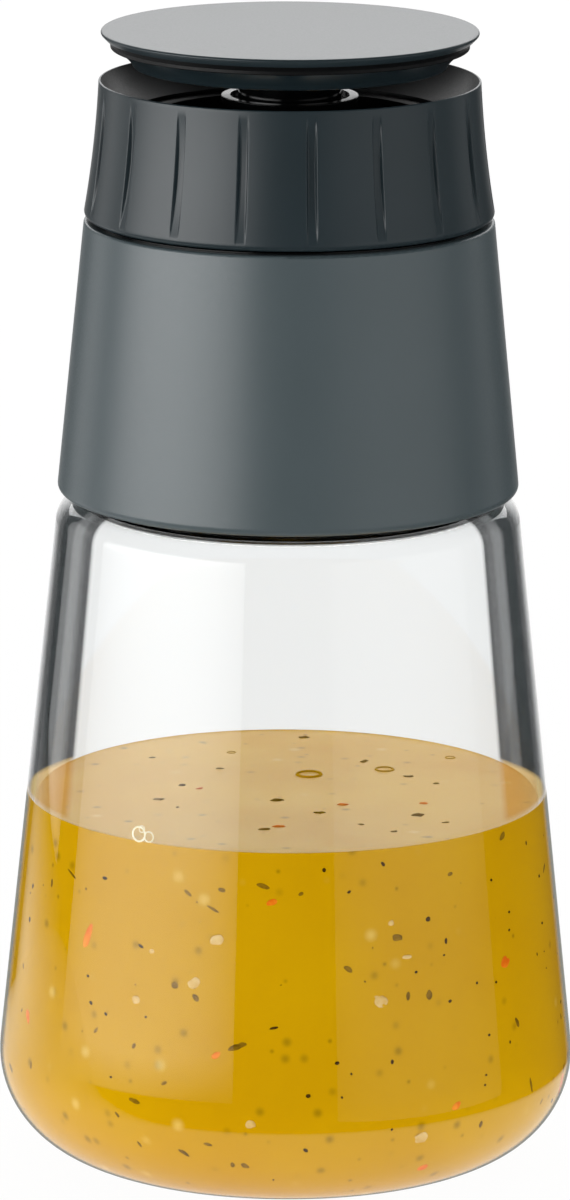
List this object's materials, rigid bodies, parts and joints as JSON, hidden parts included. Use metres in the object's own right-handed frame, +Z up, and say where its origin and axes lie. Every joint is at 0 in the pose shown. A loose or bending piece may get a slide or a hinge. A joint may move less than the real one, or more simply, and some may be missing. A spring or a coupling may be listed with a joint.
{
  "type": "dressing shaker bottle",
  "caption": "Tapered glass flask for shaking and pouring salad dressing, with a grey screw-on head whose disc lid rises when its fluted ring is turned.",
  "frame": {"origin": "centre of the foot, on the surface the flask stands on", "axes": "+Z up along the flask's axis, -Y towards the camera of the picture"},
  "size_m": [0.0804, 0.0804, 0.1588],
  "materials": {
    "clear_glass": "clear, fire polished",
    "dressing": "wet, opaque",
    "silicone": "matt",
    "black_plastic": "semi-gloss",
    "grey_plastic": "fine matt",
    "pin_steel": "turned"
  },
  "bodies": {
    "flask": {"glass_flask": "clear_glass", "dressing": "dressing"},
    "gasket": {"neck_gasket": "silicone"},
    "collar": {"screw_collar": "black_plastic", "grip_sleeve": "grey_plastic", "glide_washer": "black_plastic", "guide_tube": "black_plastic", "tube_o_ring": "silicone"},
    "ring": {"cam_sleeve": "black_plastic", "twist_ring": "grey_plastic"},
    "lid": {"lid_disc": "grey_plastic", "lid_seal": "silicone", "pour_cone": "grey_plastic", "lid_carrier": "black_plastic", "cam_pins": "pin_steel"}
  },
  "joints": [
    {"name": "head_lift", "type": "slide", "parent": "flask", "child": "gasket", "axis": [0, 0, 1], "range_m": [0, 0.06]},
    {"name": "collar_turn", "type": "hinge", "parent": "gasket", "child": "collar", "pos_m": [0, 0, 0.121], "axis": [0, 0, 1], "range_deg": [0, 360]},
    {"name": "ring_turn", "type": "hinge", "parent": "collar", "child": "ring", "pos_m": [0, 0, 0.1323], "axis": [0, 0, 1], "range_deg": [-75, 0]},
    {"name": "lid_lift", "type": "slide", "parent": "collar", "child": "lid", "axis": [0, 0, 1], "range_m": [-0.0065, 0]}
  ],
  "couplings": [
    {"joint": "lid_lift", "follows": "ring_turn", "m_per_rad": 0.004965}
  ]
}
